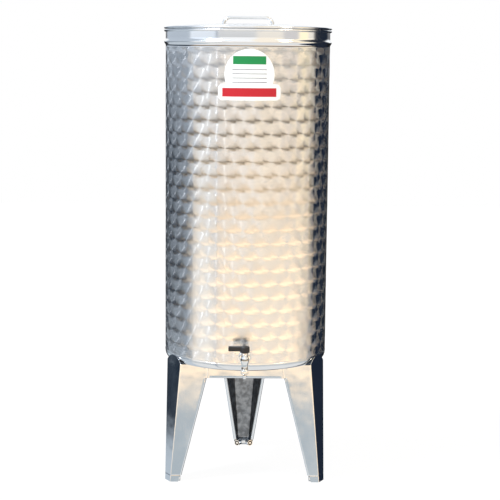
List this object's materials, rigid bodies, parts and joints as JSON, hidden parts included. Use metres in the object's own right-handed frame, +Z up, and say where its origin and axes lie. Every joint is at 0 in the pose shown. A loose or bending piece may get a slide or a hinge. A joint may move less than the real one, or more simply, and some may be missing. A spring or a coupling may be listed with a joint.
{
  "type": "stainless steel barrel on a stand",
  "caption": "Upright cylindrical steel drum with a loose domed lid, a lever tap near its foot and a stand of folded sheet legs.",
  "frame": {"origin": "on the floor, under the middle of the whole object's box; the barrel's axis stands 19 mm behind it, because the tap reaches further forward than the back leg reaches backward", "axes": "+Z up along the barrel's axis, -Y towards the tap at the front, +X to the right as seen from the front"},
  "size_m": [0.408, 0.4766, 1.1336],
  "materials": {
    "engine_turned_steel": "engine-turned, overlapping brushed discs in staggered rows",
    "bright_steel": "bright rolled sheet",
    "satin_steel": "satin folded sheet",
    "plated_metal": "bright plated",
    "black_plastic": "moulded, slightly glossy",
    "white_seal": "matt seal"
  },
  "bodies": {
    "barrel": {"barrel_wall": "engine_turned_steel", "top_rim": "bright_steel", "bottom_pan": "bright_steel", "outlet_boss": "bright_steel", "leg_front_left": "satin_steel", "leg_front_right": "satin_steel", "leg_back": "satin_steel", "foot_hem_front_left": "satin_steel", "foot_hem_front_right": "satin_steel", "foot_hem_back": "satin_steel", "apron_front": "satin_steel", "apron_left": "satin_steel", "apron_right": "satin_steel", "tap_nut": "plated_metal", "tap_tailpiece": "plated_metal", "tap_body": "plated_metal", "tap_collar": "plated_metal", "tap_nozzle": "plated_metal", "tap_bonnet": "plated_metal", "tap_gasket": "white_seal"},
    "lid": {"lid_disc": "bright_steel", "lid_edge": "bright_steel", "lid_skirt": "bright_steel", "lid_handle": "bright_steel"},
    "tap_lever": {"tap_stem": "plated_metal", "tap_lever": "black_plastic", "lever_cap": "black_plastic"}
  },
  "joints": [
    {"name": "lid_lift", "type": "slide", "parent": "barrel", "child": "lid", "axis": [0, 0, 1], "range_m": [0, 0.3]},
    {"name": "tap_lever_turn", "type": "hinge", "parent": "barrel", "child": "tap_lever", "pos_m": [0, -0.22703, 0.36], "axis": [0, 0, 1], "range_deg": [0, 90]}
  ]
}
